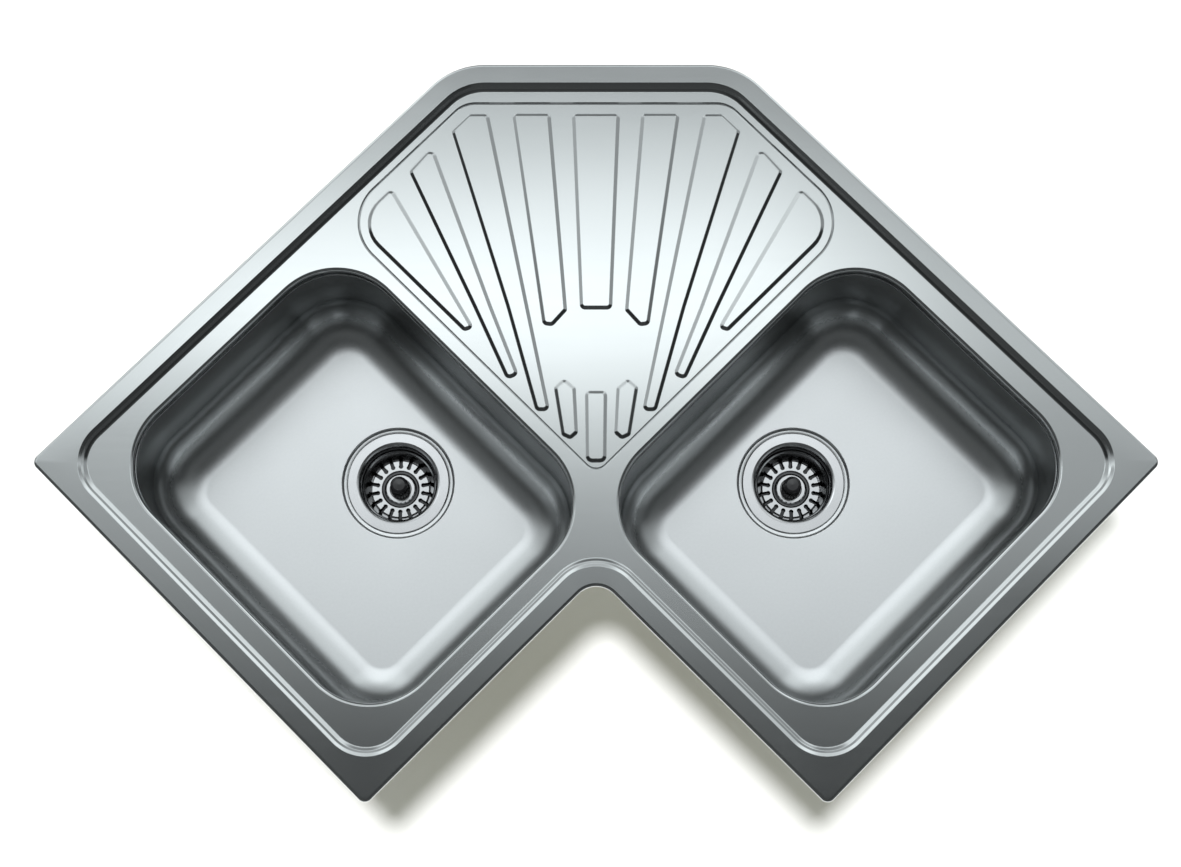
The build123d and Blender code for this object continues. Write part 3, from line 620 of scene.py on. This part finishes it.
straight = wmath("MULTIPLY", smooth(TURN, 0.90, 0.985, 0.0, 0.62), smooth(Z, 0.80, 0.55))
glow = wmath("MULTIPLY", wmath("MULTIPLY", ring, round_it), smooth(SIDE, 0.53, 0.72, 1.0, 0.75))   # pale walls behind, a dark room in front
glow = wmath("MULTIPLY", glow, wmath("SUBTRACT", 1.0, straight))
front = wmath("MULTIPLY", wmath("MULTIPLY", smooth(Z, 0.90, 0.78), smooth(Z, 0.60, 0.74, 0.0, 0.10)), smooth(TURN, 0.15, 0.0))
low = wmath("MULTIPLY", smooth(Z, 0.31, 0.20, 0.0, 0.42), smooth(TURN, 0.6, 0.3))   # a pale band low in front
dim = wmath("ADD", wmath("ADD", softbox, wmath("ADD", wmath("ADD", front, low), 0.028)), glow)
ray = add_node(nt, "ShaderNodeLightPath")
seen = ray.outputs["Is Camera Ray"]
level = wmath("ADD", wmath("MULTIPLY", dim, wmath("SUBTRACT", 1.0, seen)), wmath("MULTIPLY", seen, 0.96))
nt.links.new(level, bg.inputs["Strength"])
nt.links.new(blend_colour(nt, seen, (0.925, 0.99, 1.0), (1.0, 1.0, 1.0)), bg.inputs["Color"])

for name, energy, spread, toward in (("key", 3.2, 8, (-0.046, 0.058, 1.0)), ("fill", 0.25, 40, (0.5, -1.0, 0.8))):
    sun = bpy.data.lights.new(name, "SUN")
    sun.energy = energy
    sun.angle = math.radians(spread)
    sun_ob = bpy.data.objects.new(name, sun)
    scene.collection.objects.link(sun_ob)
    sun_ob.rotation_mode = "QUATERNION"
    sun_ob.rotation_quaternion = Vector(toward).normalized().to_track_quat("Z", "Y")
    sun_ob.visible_glossy = False  # they only shape the shadow: the steel mirrors the studio around it

# soft panels over the bowls alone, turned with them: a wide one for each shell, a weaker one for each strainer
for what, power in (("bowl", 1.08), ("strainer", 0.50)):
    for side, s in (("left", -1.0), ("right", 1.0)):
        panel = bpy.data.lights.new("panel_%s_%s" % (what, side), "AREA")
        panel.shape = "RECTANGLE"
        panel.size, panel.size_y = 4.2, 3.8
        panel.color = (0.93, 0.975, 1.0)
        panel.energy = power * math.pi * panel.size * panel.size_y
        panel_ob = bpy.data.objects.new(panel.name, panel)
        scene.collection.objects.link(panel_ob)
        panel_ob.location = (0.62 * s, 2.55, 6.0)
        panel_ob.rotation_euler = (0.0, 0.0, math.radians(-45.0 * s))
        panel_ob.visible_camera = False
        lit = bpy.data.collections.new("under_" + panel.name)
        for ob in scene.objects:
            if ob.type == "MESH" and side in ob.name and any(k in ob.name for k in (("bowl",) if what == "bowl" else ("strainer", "basket"))):
                lit.objects.link(ob)
        panel_ob.light_linking.receiver_collection = lit

cam = bpy.data.cameras.new("camera")
cam.lens = 76.2
cam.sensor_width = 36.0
cam.clip_end = 60.0
cam_ob = bpy.data.objects.new("camera", cam)
scene.collection.objects.link(cam_ob)
cam_ob.location = (-0.0058, -0.5505, 2.5424)
cam_ob.rotation_euler = (math.radians(12.0), 0, 0)
scene.camera = cam_ob

scene.view_settings.view_transform = "Standard"
scene.view_settings.look = "None"
